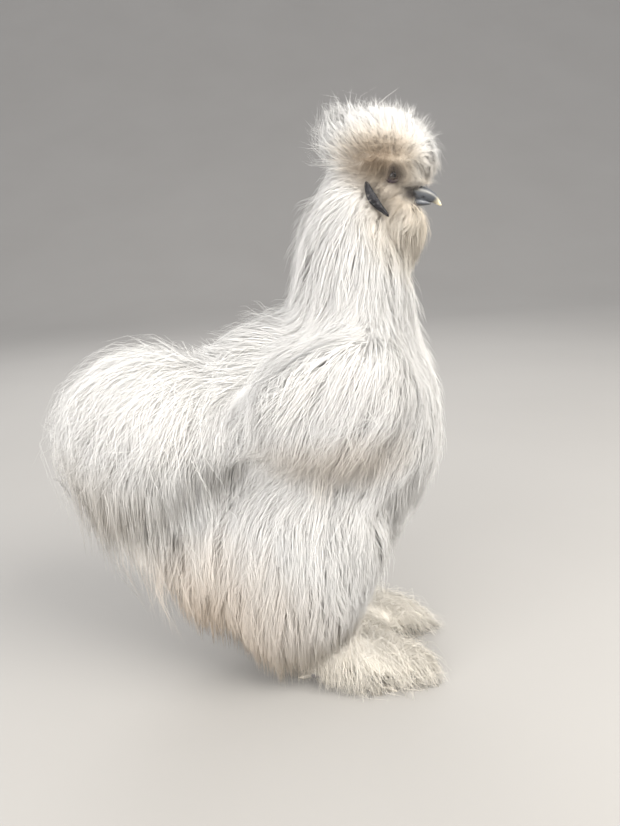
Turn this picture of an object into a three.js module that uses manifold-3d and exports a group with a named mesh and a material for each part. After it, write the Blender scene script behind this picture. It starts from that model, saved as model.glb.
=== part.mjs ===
// A life-size silkie chicken standing at rest, in millimetres.
// +X is the way the bird faces, +Y is its left, +Z is up, and the floor is z = 0.
// Every piece is the outline of the real thing out to the tips of its feathers. Neighbours that
// share a space are parted by a thin cut: the piece listed first keeps it, the later one gives way.

import * as THREE from "three";
import Module from "manifold-3d";

const wasm = await Module();
wasm.setup();

// Driving dimensions
const GAP = 0.3; // the thin cut between two pieces
const BODY_HALF_WIDTH = 69; // the trunk without its wings
const STANCE_HALF = 25; // from the middle of the bird to each foot
const FOOT_AT = { right: 10, left: 16 }; // where the ball of each foot stands, along X
const TOE_OUT = 6; // degrees that each foot points outwards
const TOE_RADIUS = 3.7;
const TOE_SINK = 0.9; // how much of a toe's round underside is flat on the floor
const CLAW_LENGTH = 9;
const EYE_RADIUS = 4.6;
const EYE_CENTRE = [57, 13.6, 338]; // of the left eye
const HOCK = [8, 58]; // how far ahead and how high the bare shank ends inside the thigh
const SHANK_RADIUS = 6;

// Colours of the plumage and of the bare parts
const WHITE = "#f3f0ea";
const CREAM = "#e8ddca";
const MULBERRY = "#3a3038";
const SLATE = "#7d8795";
const HORN = "#b9b29c";
const DARK_EYE = "#1b1512";

// Station columns: x, y, z of the centre, then how far the body reaches on each side of it
// along its depth, which lies in the upright plane, and along its width.
const TRUNK = [
  [-68, 0, 208, 62, 48],
  [14, 0, 187, 76, BODY_HALF_WIDTH],
  [91, 0, 190, 75, 65],
];
const NECK = [
  [31, 0, 200, 50, 58],
  [30, 0, 240, 51.5, 51],
  [33, 0, 270, 43.5, 44],
  [35, 0, 298, 38.5, 39],
  [34, 0, 325, 31, 33],
  [31, 0, 352, 24, 28],
];
const HEAD = [
  [24, 0, 338, 18, 15],
  [50, 0, 336, 19, 17],
  [78, 0, 327, 12, 10],
];
const CREST = [
  [9, 0, 352, 25, 29],
  [46, 0, 360, 23, 36],
  [89, 0, 353, 24, 31],
];
const BEARD = [
  [64, 0, 332, 16, 24],
  [65, 0, 310, 19, 31],
  [57, 0, 282, 22, 26],
];
const TAIL = [
  [14, 0, 180, 34, 66],
  [-56, 0, 184, 47, 67],
  [-116, 0, 185, 64, 64],
  [-174, 0, 174, 61, 54],
];
const ABDOMEN = [
  [72, 0, 132, 44, 44],
  [-34, 0, 104, 56, 58],
  [-108, 0, 60, 46, 50],
];
const SHOULDER_TO_WING_TIP = [
  [68, 50, 220, 32, 16],
  [34, 63, 214, 38, 20],
  [-2, 64, 198, 39, 20],
  [-26, 58, 178, 28, 14],
];
const THIGH = [
  [20, 28, 164, 50, 34],
  [2, 34, 116, 53, 37],
  [-20, 34, 64, 52, 35],
  [-27, 30, 24, 41, 30],
];
const UPPER_BEAK = [
  [66, 0, 330, 9, 7],
  [79, 0, 330, 7.2, 5.6],
  [87, 0, 326, 4.6, 3.4],
  [90, 0, 319.5, 1.6, 1.4],
];
const LOWER_BEAK = [
  [64, 0, 320.5, 4.6, 6],
  [76, 0, 320, 3.6, 4.6],
  [84, 0, 319.6, 1.8, 2.4],
];
const EARLOBE = [
  [41, 24, 334, 3.6, 3.2],
  [46, 27, 325, 5.2, 3.6],
  [54, 27.5, 313, 3.4, 3],
];
const WATTLE = [
  [70, 6.5, 322, 3.4, 2.6],
  [71, 8.5, 316, 4.6, 2.8],
  [71, 8.5, 308, 3.4, 2.4],
];
const COMB = [
  [64, 0, 343, 6, 7],
  [71, 0, 343, 7, 8.5],
  [78, 0, 338, 5, 6.5],
];

// The puff of feathers over a foot, with its stations ahead of the ball of the foot.
const FOOT_PUFF = [
  [-18, 0, 26, 20, 20],
  [26, 0, 14, 17, 21],
  [72, 0, 5, 11, 14],
];

// Toes, each by the degrees it points away from straight ahead, towards the bird's middle when
// negative, how far it reaches and how high its tip is held. A silkie has five, two behind.
const TOES = [
  { angle: -24, reach: 34, lift: 0 },
  { angle: 0, reach: 47, lift: 0 },
  { angle: 24, reach: 36, lift: 0 },
  { angle: 170, reach: 20, lift: 0 },
  { angle: 212, reach: 16, lift: 7 },
];

const at = (x, y, z) => new THREE.Vector3(x, y, z);

// A closed body carried along the smooth path through its stations. At share t of the path its
// reach is the stations' own times (4t(1 - t)) to the power full / 2, so full = 1 is an
// ellipsoid and a smaller value is blunter. grow pushes the whole surface outwards.
function bodyAlong(stations, { full = 1, rows, sides }, grow) {
  const path = new THREE.CatmullRomCurve3(stations.map(([x, y, z]) => at(x, y, z)));
  const reach = new THREE.CatmullRomCurve3(stations.map(([, , , deep, wide]) => at(deep, wide, 0)));
  const points = [];
  for (let row = 0; row <= rows; row += 1) {
    const t = (1 - Math.cos((Math.PI * row) / rows)) / 2;
    const along = path.getTangent(t);
    const wideAxis = at(0, 1, 0).addScaledVector(along, -along.y).normalize();
    const deepAxis = new THREE.Vector3().crossVectors(wideAxis, along);
    const centre = path.getPoint(t).addScaledVector(along, grow * (2 * t - 1));
    if (row === 0 || row === rows) {
      points.push(...centre.toArray());
      continue;
    }
    const swell = Math.pow(4 * t * (1 - t), full / 2);
    const { x: deep, y: wide } = reach.getPoint(t);
    for (let side = 0; side < sides; side += 1) {
      const angle = (2 * Math.PI * side) / sides;
      const point = centre
        .clone()
        .addScaledVector(deepAxis, Math.cos(angle) * (deep * swell + grow))
        .addScaledVector(wideAxis, Math.sin(angle) * (wide * swell + grow));
      points.push(...point.toArray());
    }
  }
  return closedSolid(points, rows, sides);
}

// Joins the rings of points, with one point at each end, into a solid that faces outwards.
function closedSolid(points, rows, sides) {
  const ring = (row, side) => 1 + (row - 1) * sides + (side % sides);
  const last = 1 + (rows - 1) * sides;
  const faces = [];
  for (let side = 0; side < sides; side += 1) {
    faces.push(0, ring(1, side), ring(1, side + 1));
    faces.push(last, ring(rows - 1, side + 1), ring(rows - 1, side));
    for (let row = 1; row < rows - 1; row += 1) {
      faces.push(ring(row, side), ring(row + 1, side), ring(row + 1, side + 1));
      faces.push(ring(row, side), ring(row + 1, side + 1), ring(row, side + 1));
    }
  }
  return solidOf(points, faces);
}

function solidOf(points, faces) {
  const build = (order) =>
    new wasm.Manifold(
      new wasm.Mesh({
        numProp: 3,
        vertProperties: new Float32Array(points),
        triVerts: new Uint32Array(order),
      }),
    );
  const solid = build(faces);
  return solid.volume() > 0 ? solid : build(faces.slice().reverse());
}

// The same stations on the other side of the bird, or moved to where a foot stands.
const onSide = (stations, side) => stations.map(([x, y, z, d, w]) => [x, y * side, z, d, w]);

// A stretch of round toe or shank between two points, narrowing from one to the other.
function limb(from, to, fromRadius, toRadius, grow) {
  const middle = from.clone().lerp(to, 0.5);
  const radius = (fromRadius + toRadius) / 2;
  const stations = [
    [...from.toArray(), fromRadius, fromRadius],
    [...middle.toArray(), radius, radius],
    [...to.toArray(), toRadius, toRadius],
  ];
  return bodyAlong(stations, { full: 0.35, rows: 4, sides: 8 }, grow);
}

// Turns a distance ahead, a distance outwards and a height at a foot into the bird's own frame.
function atFoot(side, ahead, outwards, height) {
  const turn = THREE.MathUtils.degToRad(TOE_OUT);
  const ball = side > 0 ? FOOT_AT.left : FOOT_AT.right;
  const x = ball + ahead * Math.cos(turn) - outwards * Math.sin(turn);
  const y = STANCE_HALF + ahead * Math.sin(turn) + outwards * Math.cos(turn);
  return at(x, y * side, height);
}

function toeEnds(side, { angle, reach, lift }) {
  const way = THREE.MathUtils.degToRad(angle);
  const height = TOE_RADIUS - TOE_SINK;
  const end = (length, rise) =>
    atFoot(side, length * Math.cos(way), length * Math.sin(way), height + rise);
  return { heel: end(0, 0), tip: end(reach, lift), point: end(reach + CLAW_LENGTH, lift) };
}

// Everything under the floor is cut away, which leaves small flats at one level.
function aboveFloor(solid) {
  const box = new THREE.BoxGeometry(900, 900, 100).translate(0, 0, -50).toNonIndexed();
  const corners = Array.from(box.getAttribute("position").array);
  return solid.subtract(solidOf(...mergedCorners(corners)));
}

function mergedCorners(corners) {
  const points = [];
  const faces = [];
  const seen = new Map();
  for (let i = 0; i < corners.length; i += 3) {
    const corner = corners.slice(i, i + 3);
    const key = corner.join();
    if (!seen.has(key)) {
      seen.set(key, points.length / 3);
      points.push(...corner);
    }
    faces.push(seen.get(key));
  }
  return [points, faces];
}

// A foot: the feathered puff over the shank and toes, and the five scaly toes under it.
function foot(side, grow) {
  const puff = FOOT_PUFF.map(([ahead, outwards, z, deep, wide]) => [
    ...atFoot(side, ahead, outwards, z).toArray(),
    deep,
    wide,
  ]);
  const hock = at(HOCK[0], STANCE_HALF * side, HOCK[1]);
  const ankle = atFoot(side, 0, 0, SHANK_RADIUS);
  let solid = bodyAlong(puff, { full: 0.9, rows: 8, sides: 12 }, grow);
  solid = solid.add(limb(ankle, hock, SHANK_RADIUS, SHANK_RADIUS, grow));
  for (const toe of TOES) {
    const { heel, tip } = toeEnds(side, toe);
    solid = solid.add(limb(heel, tip, TOE_RADIUS + 0.5, TOE_RADIUS - 0.6, grow));
  }
  return aboveFloor(solid);
}

// A claw bends down from the end of its toe, and those of the flat toes reach the floor.
function claw(side, toe, grow) {
  const { tip, point } = toeEnds(side, toe);
  const root = tip.clone().lerp(point, -0.2);
  const bend = tip.clone().lerp(point, 0.5).setZ(tip.z - 1.3);
  point.setZ(tip.z - 1.9);
  const stations = [
    [...root.toArray(), 2.1, 2.1],
    [...bend.toArray(), 2, 2],
    [...point.toArray(), 0.9, 0.9],
  ];
  return aboveFloor(bodyAlong(stations, { full: 0.6, rows: 4, sides: 6 }, grow));
}

function eye(side, grow) {
  const [x, y, z] = EYE_CENTRE;
  const across = [-EYE_RADIUS, 0, EYE_RADIUS];
  const stations = across.map((ahead) => [x + ahead, y * side, z, EYE_RADIUS, EYE_RADIUS]);
  return bodyAlong(stations, { rows: 8, sides: 10 }, grow);
}

const shaped = (stations, finish) => (grow) => bodyAlong(stations, finish, grow);

// Every piece in the order that it takes its room.
const pieces = [];
const add = (name, colour, shape, roughness = 0.9) => pieces.push({ name, colour, shape, roughness });
const sides = { right: -1, left: 1 };
const bare = { rows: 8, sides: 10 };

for (const [where, side] of Object.entries(sides)) {
  add(`eye_${where}`, DARK_EYE, (grow) => eye(side, grow), 0.1);
}
add("beak_upper", SLATE, shaped(UPPER_BEAK, { ...bare, full: 0.5 }), 0.35);
add("beak_lower", SLATE, shaped(LOWER_BEAK, { full: 0.6, rows: 6, sides: 8 }), 0.4);
add("comb", MULBERRY, shaped(COMB, { rows: 6, sides: 10 }), 0.6);
for (const [where, side] of Object.entries(sides)) {
  add(`earlobe_${where}`, MULBERRY, shaped(onSide(EARLOBE, side), bare), 0.6);
  add(`wattle_${where}`, MULBERRY, shaped(onSide(WATTLE, side), { rows: 6, sides: 8 }), 0.6);
  TOES.forEach((toe, n) => {
    add(`claw_${where}_${n + 1}`, HORN, (grow) => claw(side, toe, grow), 0.4);
  });
}
for (const [where, side] of Object.entries(sides)) {
  add(`foot_${where}`, CREAM, (grow) => foot(side, grow));
}
add("head", CREAM, shaped(HEAD, { rows: 6, sides: 10 }));
add("beard", CREAM, shaped(BEARD, { rows: 8, sides: 14 }));
add("crest", WHITE, shaped(CREST, { full: 0.9, rows: 12, sides: 20 }));
add("trunk", WHITE, shaped(TRUNK, { full: 0.7, rows: 12, sides: 20 }));
add("neck", WHITE, shaped(NECK, { full: 0.4, rows: 10, sides: 16 }));
for (const [where, side] of Object.entries(sides)) {
  const stations = onSide(SHOULDER_TO_WING_TIP, side);
  add(`wing_${where}`, WHITE, shaped(stations, { full: 0.8, rows: 10, sides: 14 }));
}
add("tail", WHITE, shaped(TAIL, { full: 0.9, rows: 12, sides: 20 }));
for (const [where, side] of Object.entries(sides)) {
  const stations = onSide(THIGH, side);
  add(`thigh_${where}`, CREAM, shaped(stations, { full: 0.7, rows: 10, sides: 14 }));
}
add("abdomen", CREAM, shaped(ABDOMEN, { full: 0.7, rows: 10, sides: 14 }));

// The largest body of a solid that a cut left in several.
function largest(solid) {
  const bodies = solid.decompose();
  return bodies.reduce((best, body) => (body.volume() > best.volume() ? body : best));
}

function geometryOf(solid) {
  const { vertProperties, triVerts, numProp } = solid.getMesh();
  const positions = new Float32Array((vertProperties.length / numProp) * 3);
  for (let i = 0; i < positions.length / 3; i += 1)
    positions.set(vertProperties.subarray(i * numProp, i * numProp + 3), i * 3);
  const geometry = new THREE.BufferGeometry();
  geometry.setAttribute("position", new THREE.BufferAttribute(positions, 3));
  geometry.setIndex(new THREE.BufferAttribute(triVerts, 1));
  geometry.computeVertexNormals();
  return geometry;
}

const bird = new THREE.Group();
let taken = null;
for (const { name, colour, shape, roughness } of pieces) {
  const whole = shape(0);
  const solid = taken ? largest(whole.subtract(taken)) : whole;
  const kept = shape(GAP);
  taken = taken ? taken.add(kept) : kept;
  const material = new THREE.MeshStandardMaterial({ color: colour, roughness, metalness: 0 });
  const mesh = new THREE.Mesh(geometryOf(solid), material);
  mesh.name = name;
  bird.add(mesh);
}

// The bird's own origin is on the floor under the middle of its box.
const box = new THREE.Box3().setFromObject(bird);
const middle = (box.min.x + box.max.x) / 2;
for (const mesh of bird.children) mesh.geometry.translate(-middle, 0, 0);

export default bird;
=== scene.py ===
# %% [markdown]
# # A silkie chicken: from plain solids to plumage
# The bird stands in metres: +X is the way it faces, +Y is its left and +Z is up, with the floor
# at zero. The plain solids of the frame say where each part of it is, out to the tips of its
# feathers. They could be smoothed and painted, but a silkie has no smooth surface anywhere: its
# feathers lack the hooks that make a flat vane, so every one is a loose tassel. So this script
# makes one skin a little inside the solids and grows the plumage from it as thin closed tassels.

import bpy
import numpy as np
from mathutils import Matrix, Vector


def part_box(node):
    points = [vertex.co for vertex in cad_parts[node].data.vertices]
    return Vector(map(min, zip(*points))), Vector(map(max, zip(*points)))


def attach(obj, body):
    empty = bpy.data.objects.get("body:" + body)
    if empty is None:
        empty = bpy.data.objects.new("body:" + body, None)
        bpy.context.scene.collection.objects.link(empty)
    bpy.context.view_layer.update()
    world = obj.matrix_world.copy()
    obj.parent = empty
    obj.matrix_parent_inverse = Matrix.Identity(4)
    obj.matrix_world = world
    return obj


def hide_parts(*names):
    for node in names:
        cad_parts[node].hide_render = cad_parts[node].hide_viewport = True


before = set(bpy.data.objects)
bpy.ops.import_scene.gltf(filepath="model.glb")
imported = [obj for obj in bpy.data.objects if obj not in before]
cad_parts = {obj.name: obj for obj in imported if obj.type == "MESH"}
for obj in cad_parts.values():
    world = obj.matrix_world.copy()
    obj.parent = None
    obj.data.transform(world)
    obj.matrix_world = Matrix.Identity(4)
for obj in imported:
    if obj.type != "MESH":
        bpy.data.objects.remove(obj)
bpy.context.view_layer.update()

# %% [markdown]
# ## The shapes that the body is made of
# A bird's outline is a handful of rounded bodies that run into each other: trunk, neck, crest,
# tail cushion, thighs. Each could be modelled by hand, but a short table says it better. A body
# is carried along a path through its stations, and every station gives the centre and how far
# the body reaches on each side of it. These are the stations of the solids, in millimetres, but
# for two: the crest is stated as its core, because its plumes stand up all round it like a
# globe, and the beard's lower end is 5 mm higher. The last two numbers of a body are how blunt
# its ends are and how deep its coat is.

# %% Stations, bluntness and depth of coat
MM = 0.001
BODIES = {
    "trunk": ([(-68, 0, 208, 62, 48), (14, 0, 187, 76, 69), (91, 0, 190, 75, 65)], 0.7, 13),
    "neck": (
        [(31, 0, 200, 50, 58), (30, 0, 240, 51.5, 51), (33, 0, 270, 43.5, 44),
         (35, 0, 298, 38.5, 39), (34, 0, 325, 31, 33), (31, 0, 352, 24, 28)], 0.4, 13),
    "head": ([(24, 0, 338, 18, 15), (50, 0, 336, 19, 17), (78, 0, 327, 12, 10)], 1.0, 1.5),
    "crest": ([(27, 0, 352, 13, 15), (50, 0, 352, 16, 22), (79, 0, 348, 13, 15)], 0.9, 0),
    "beard": ([(64, 0, 332, 16, 24), (64, 0, 310, 19, 31), (58, 0, 287, 21, 27)], 1.0, 8),
    "tail": (
        [(14, 0, 180, 34, 66), (-56, 0, 184, 47, 67), (-116, 0, 185, 64, 64),
         (-174, 0, 174, 61, 54)], 0.9, 18),
    "abdomen": ([(72, 0, 132, 44, 44), (-34, 0, 104, 56, 58), (-108, 0, 60, 46, 50)], 0.7, 16),
}
WING = [(68, 50, 220, 32, 16), (34, 63, 214, 38, 20), (-2, 64, 198, 39, 20), (-26, 58, 178, 28, 14)]
THIGH = [(20, 28, 164, 50, 34), (2, 34, 116, 53, 37), (-20, 34, 64, 52, 35), (-27, 30, 24, 41, 30)]
SIDES = {"right": -1, "left": 1}


def on_side(side, stations):
    """Stations of the left side, with y times the side, which is -1 on the right."""
    return [(x, y * side, *rest) for x, y, *rest in stations]


for where, side in SIDES.items():
    BODIES[f"wing_{where}"] = (on_side(side, WING), 0.8, 12)
    BODIES[f"thigh_{where}"] = (on_side(side, THIGH), 0.7, 13)
print("bodies:", ", ".join(BODIES))

# %% [markdown]
# ## The feet
# A silkie has five toes where most hens have four: three in front and two behind, the last held
# off the ground. The feet are turned out a little, and the left one stands a short step ahead.
# Ahead and outwards at a foot are turned into the bird's own frame, so that a toe, its claw and
# the puff of feathers over it can all be stated from the ball of the foot.

# %% Where the toes are
STANCE_HALF, BALL_AT, TOE_OUT = 25, {"right": 10, "left": 16}, np.radians(6)
TOE_RADIUS, TOE_SINK, CLAW_LENGTH = 3.7, 0.9, 9
TOES = [(-24, 34, 0), (0, 47, 0), (24, 36, 0), (170, 20, 0), (212, 16, 7)]  # degrees, reach, lift
HOCK = (8, 58)
FOOT_PUFF = [(-18, 26, 20, 20), (26, 14, 17, 21), (72, 5, 11, 14)]


def at_foot(where, ahead, outwards, height):
    """Ball of the foot plus ahead along the foot and outwards across it, turned out by TOE_OUT."""
    x = BALL_AT[where] + ahead * np.cos(TOE_OUT) - outwards * np.sin(TOE_OUT)
    y = STANCE_HALF + ahead * np.sin(TOE_OUT) + outwards * np.cos(TOE_OUT)
    return (float(x), float(y * SIDES[where]), float(height))


for where in SIDES:
    puff = [(*at_foot(where, ahead, 0, z), d, w) for ahead, z, d, w in FOOT_PUFF]
    BODIES[f"foot_{where}"] = (puff, 0.9, 6)
print("toe tips ahead:", [round(at_foot("right", 47, 0, 0)[0]), round(at_foot("left", 47, 0, 0)[0])], "mm")

# %% [markdown]
# ## A body carried along a path
# The path is a centripetal Catmull-Rom curve, which passes through every station without
# overshooting. A spline object could do it too, but as arrays the same curve also answers the
# questions that the plumage asks later: how far along a body a point is, and on which side.

# %% Curve through the stations
EYE_AT = (57, 13.6, 338)  # middle of the left eyeball, among the stations
eye_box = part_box("eye_right")
AHEAD = (eye_box[0][0] + eye_box[1][0]) / 2 / MM - EYE_AT[0]
print("the solids lie", round(AHEAD, 2), "mm ahead of the stations")


def curve_through(points, t):
    """Cubic with the ends p1, p2 and end speeds from chord lengths to the power one half."""
    p = np.asarray(points, float)
    p = np.vstack([2 * p[0] - p[1], p, 2 * p[-1] - p[-2]])
    place = np.clip(t, 0, 1) * (len(points) - 1)
    k = np.minimum(place.astype(int), len(points) - 2)
    f = (place - k)[..., None]
    a, b, c, d = p[k], p[k + 1], p[k + 2], p[k + 3]
    ab, bc, cd = (np.sqrt(np.linalg.norm(v, axis=-1, keepdims=True)) for v in (b - a, c - b, d - c))
    bc = np.where(bc < 1e-4, 1, bc)
    ab, cd = np.where(ab < 1e-4, bc, ab), np.where(cd < 1e-4, bc, cd)
    start = bc * ((b - a) / ab - (c - a) / (ab + bc) + (c - b) / bc)
    end = bc * ((c - b) / bc - (d - b) / (bc + cd) + (d - c) / cd)
    return b + start * f + (3 * (c - b) - 2 * start - end) * f**2 + (2 * (b - c) + start + end) * f**3


def unit(v):
    """v divided by its length."""
    return v / np.maximum(np.linalg.norm(v, axis=-1, keepdims=True), 1e-12)


def placed(points):
    """Station millimetres as metres in the frame of the solids."""
    return (np.asarray(points, float) + (AHEAD, 0, 0)) * MM


def eased(rows):
    """Shares (1 - cos(pi k / rows)) / 2 of a path, closer together at its ends."""
    return (1 - np.cos(np.pi * np.arange(rows + 1) / rows)) / 2


def around(sides):
    """Angles 2 pi k / sides."""
    return 2 * np.pi * np.arange(sides) / sides


def sections(body, t, inset=0.0):
    """Centre, the three axes and the two reaches of the body's section at share t of its path."""
    stations, full, _ = BODIES[body] if isinstance(body, str) else body
    table = np.asarray(stations, float)
    along = unit(curve_through(table[:, :3], t + 1e-3) - curve_through(table[:, :3], t - 1e-3))
    across = unit(np.array([0, 1.0, 0]) - along * along[..., 1:2])
    deep = np.cross(across, along)
    centre = curve_through(table[:, :3], t) - inset * (2 * t - 1)[..., None] * along
    reach = curve_through(np.c_[table[:, 3:], np.zeros(len(table))], t)[..., :2] - inset
    swell = np.power(np.clip(4 * t * (1 - t), 0, 1), full / 2)[..., None]
    return placed(centre), along, deep, across, reach * swell * MM


# %% [markdown]
# ## From rows and sides to a mesh
# Every new piece is a grid: rows along it and sides round it, with one point at each end. The
# faces of such a grid are always the same pattern, so they come from whole arrays of numbers.

# %% Grid to mesh
def body_grid(body, rows, sides, inset=0.0):
    """Point(t, a) = centre + deep * cos a * reach + across * sin a * reach."""
    centre, _, deep, across, reach = sections(body, eased(rows), inset)
    a = around(sides)[None, :, None]
    ring = deep[:, None] * (np.cos(a) * reach[:, None, :1])
    return centre[:, None] + ring + across[:, None] * (np.sin(a) * reach[:, None, 1:])


def grid_faces(rows, sides):
    """Two triangles for each cell of the grid, and a fan at each end: vertices are 0, rings, last."""
    k = np.arange(sides)
    n = (k + 1) % sides
    r = 1 + np.arange(rows - 2)[:, None] * sides
    quads = np.stack([r + k, r + sides + k, r + sides + n, r + n], -1).reshape(-1, 4)
    last = 1 + (rows - 1) * sides
    low, high = np.c_[0 * k, 1 + k, 1 + n], np.c_[0 * k + last, last - sides + n, last - sides + k]
    return np.vstack([quads[:, [0, 1, 2]], quads[:, [0, 2, 3]], low, high])


def outward(vertices, faces):
    """The faces, turned over where the sum of a . (b x c) over them is negative."""
    a, b, c = (vertices[faces[:, i]] - vertices.mean(0) for i in range(3))
    return faces if np.einsum("ij,ij->", a, np.cross(b, c)) > 0 else faces[:, ::-1]


def closed_grid(points):
    """Vertices and outward faces of a grid whose first and last rows are drawn to a point."""
    rows, sides = len(points) - 1, points.shape[1]
    vertices = np.vstack([points[0].mean(0), points[1:-1].reshape(-1, 3), points[-1].mean(0)])
    return vertices, outward(vertices, grid_faces(rows, sides))


def raised(grid, height):
    """Each point moved away from the middle of its row by a height in mm."""
    return grid + MM * height[..., None] * unit(grid - grid.mean(1, keepdims=True) + 1e-9)


def mesh_of(name, vertices, faces):
    """A smooth-shaded mesh from arrays of points and of triangles."""
    mesh = bpy.data.meshes.new(name)
    mesh.vertices.add(len(vertices))
    mesh.vertices.foreach_set("co", np.ascontiguousarray(vertices, np.float32).ravel())
    mesh.loops.add(faces.size)
    mesh.loops.foreach_set("vertex_index", np.ascontiguousarray(faces, np.int32).ravel())
    mesh.polygons.add(len(faces))
    mesh.polygons.foreach_set("loop_start", np.arange(0, faces.size, 3, dtype=np.int32))
    mesh.polygons.foreach_set("use_smooth", np.ones(len(faces), bool))
    mesh.update(calc_edges=True)
    return mesh


def give(mesh, key, *values):
    """Stores one number for each vertex under a name, from values laid end to end."""
    numbers = np.hstack([np.ravel(v) for v in values]).astype(np.float32)
    mesh.attributes.new(key, "FLOAT", "POINT").data.foreach_set("value", numbers)


def show(name, mesh, material, slot, *nodes):
    """Puts a finished mesh in the scene as a piece of the bird, in place of the nodes named."""
    mesh.materials.append(material)
    piece = bpy.data.objects.new(name, mesh)
    bpy.context.scene.collection.objects.link(piece)
    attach(piece, "root")
    if nodes:
        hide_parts(*nodes)


def joined(parts):
    """Several (vertices, faces) pairs as one."""
    starts = np.cumsum([0] + [len(v) for v, _ in parts[:-1]])
    return np.vstack([v for v, _ in parts]), np.vstack([f + s for (_, f), s in zip(parts, starts)])


# %% [markdown]
# ## Shader trees
# Every material is a tree of nodes. Each node could be made, set and linked line by line, but
# the same few steps come back for all of them, so they are functions here.

# %% Nodes, inputs and groups
def fill(tree, node, inputs):
    """Links each input to a socket, or gives it a value: inputs are {name or number: either}."""
    for key, value in inputs.items():
        if isinstance(value, bpy.types.NodeSocket):
            tree.links.new(value, node.inputs[key])
        else:
            node.inputs[key].default_value = value
    return node


def add(tree, kind, inputs=(), **settings):
    """A new shader node, with its properties set and its inputs filled."""
    node = tree.nodes.new(f"ShaderNode{kind}")
    for key, value in settings.items():
        setattr(node, key, value)
    return fill(tree, node, dict(inputs))


def math(tree, operation, *values, clamp=False):
    """Outcome of a Math node."""
    return add(tree, "Math", enumerate(values), operation=operation, use_clamp=clamp).outputs[0]


def noise(tree, place, scale, detail):
    """Noise with this many features to the metre, and finer ones in it."""
    return add(tree, "TexNoise", {"Vector": place, "Scale": scale, "Detail": detail}).outputs["Fac"]


def bumped(tree, height, strength, distance):
    """The normal of a relief that is as high as the distance in metres."""
    inputs = {"Strength": strength, "Distance": distance, "Height": height}
    return add(tree, "Bump", inputs).outputs["Normal"]


def mix_colour(tree, share, first, second, blend="MIX"):
    """Outcome of a colour Mix node: first and second are sockets or colours."""
    pair = [v if isinstance(v, bpy.types.NodeSocket) else (*v, 1) for v in (first, second)]
    inputs = {0: share, 6: pair[0], 7: pair[1]}
    return add(tree, "Mix", inputs, data_type="RGBA", blend_type=blend).outputs[2]


def new_group(name, ins, outs):
    """An empty shader group with named sockets, given as name: (type, default)."""
    group = bpy.data.node_groups.new(name, "ShaderNodeTree")
    for key, (kind, default) in ins.items():
        socket = group.interface.new_socket(name=key, in_out="INPUT", socket_type=f"NodeSocket{kind}")
        if default is not None:
            socket.default_value = default
    for key, kind in outs.items():
        group.interface.new_socket(name=key, in_out="OUTPUT", socket_type=f"NodeSocket{kind}")
    return group, group.nodes.new("NodeGroupInput"), group.nodes.new("NodeGroupOutput")


# %% [markdown]
# ## The colour of the plumage, and painted shade
# White is never one colour. The plumes of the beard and of the crest's underside are cream, and
# the crest's underside is darkened further to a deep tan that is partly stain and partly painted
# shade under the crest. The fluff behind the legs and the fringe of the wing are painted darker
# and browner, and the lores by the bill are nearly black. Painting by hand would do, but soft
# clouds of tint in the bird's own space do it the same way on the skin and on every coat, so the
# two always agree. A cloud is whole near its centre and fades to nothing a little beyond its radii.

# %% Group: clouds of tint
CLOUD_END = 1.35  # in radii
WHITE = (0.95, 0.94, 0.92)
CLOUDS = [  # centre and radii in mm, tint, strength; the second number is taken on both sides
    ((48, 25, 349), (28, 22, 18), (0.78, 0.63, 0.43), 0.60),  # lower half of the crest: a tan that is partly the plumes' own and partly painted shade
    ((47, 27, 345), (25, 16, 14), (0.26, 0.18, 0.115), 0.84),  # underside of the crest: dark tan, partly stain and partly painted shade under the crest
    ((68, 0, 310), (34, 44, 34), (0.80, 0.66, 0.46), 0.60),  # beard and muffs
    ((-66, 0, 52), (78, 90, 62), (0.68, 0.51, 0.34), 0.66),  # fluff behind the legs
    ((22, 78, 172), (70, 30, 20), (0.78, 0.65, 0.50), 0.40),  # fringe of the wing
    ((-150, 0, 128), (60, 80, 46), (0.76, 0.66, 0.54), 0.30),  # underside of the tail
    ((40, 30, 12), (80, 60, 34), (0.80, 0.70, 0.52), 0.45),  # toes' feathers
    ((57, 20, 328), (17, 13, 15), (0.36, 0.29, 0.22), 0.66),  # cheek between eye and lobe
    ((72, 9, 327), (10, 9, 6), (0.03, 0.025, 0.03), 0.95),  # lores
    ((57, 17, 338), (7, 8, 6), (0.04, 0.03, 0.035), 0.92),  # round the eye
]
tint, tint_in, tint_out = new_group("plumage_tint", {"Position": ("Vector", None)}, {"Color": "Color"})
place = tint_in.outputs["Position"]
x, _, z = add(tint, "SeparateXYZ", {0: place}).outputs
unsigned = add(tint, "VectorMath", {0: place}, operation="ABSOLUTE").outputs[0]
y = add(tint, "SeparateXYZ", {0: unsigned}).outputs[1]
folded = add(tint, "CombineXYZ", enumerate((x, y, z))).outputs[0]
colour = WHITE
for centre, radii, shade, strength in CLOUDS:
    size = np.array(radii) * MM
    inputs = {0: folded, 1: list(1 / size), 2: list(-placed(centre) / size)}
    away = add(tint, "VectorMath", inputs, operation="MULTIPLY_ADD").outputs[0]
    length = add(tint, "VectorMath", {0: away}, operation="LENGTH").outputs[1]
    fade = math(tint, "SMOOTH_MIN", math(tint, "SUBTRACT", CLOUD_END, length), 1, clamp=True)
    colour = mix_colour(tint, math(tint, "MULTIPLY", fade, strength), colour, shade)
fill(tint, tint_out, {"Color": colour})
print("tint clouds:", len(CLOUDS))

# %% [markdown]
# ## Relief of bare skin and horn
# Comb, lobes, lids and toes are pebbled like leather; bill and claws are drawn out in fine
# streaks along their length. Both are a few layers of noise, so they are made once as groups and
# each material gives its own scale. Image textures could hold such detail, but they would need a
# map for every piece, and noise in the bird's own space stays sharp at any distance.

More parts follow.
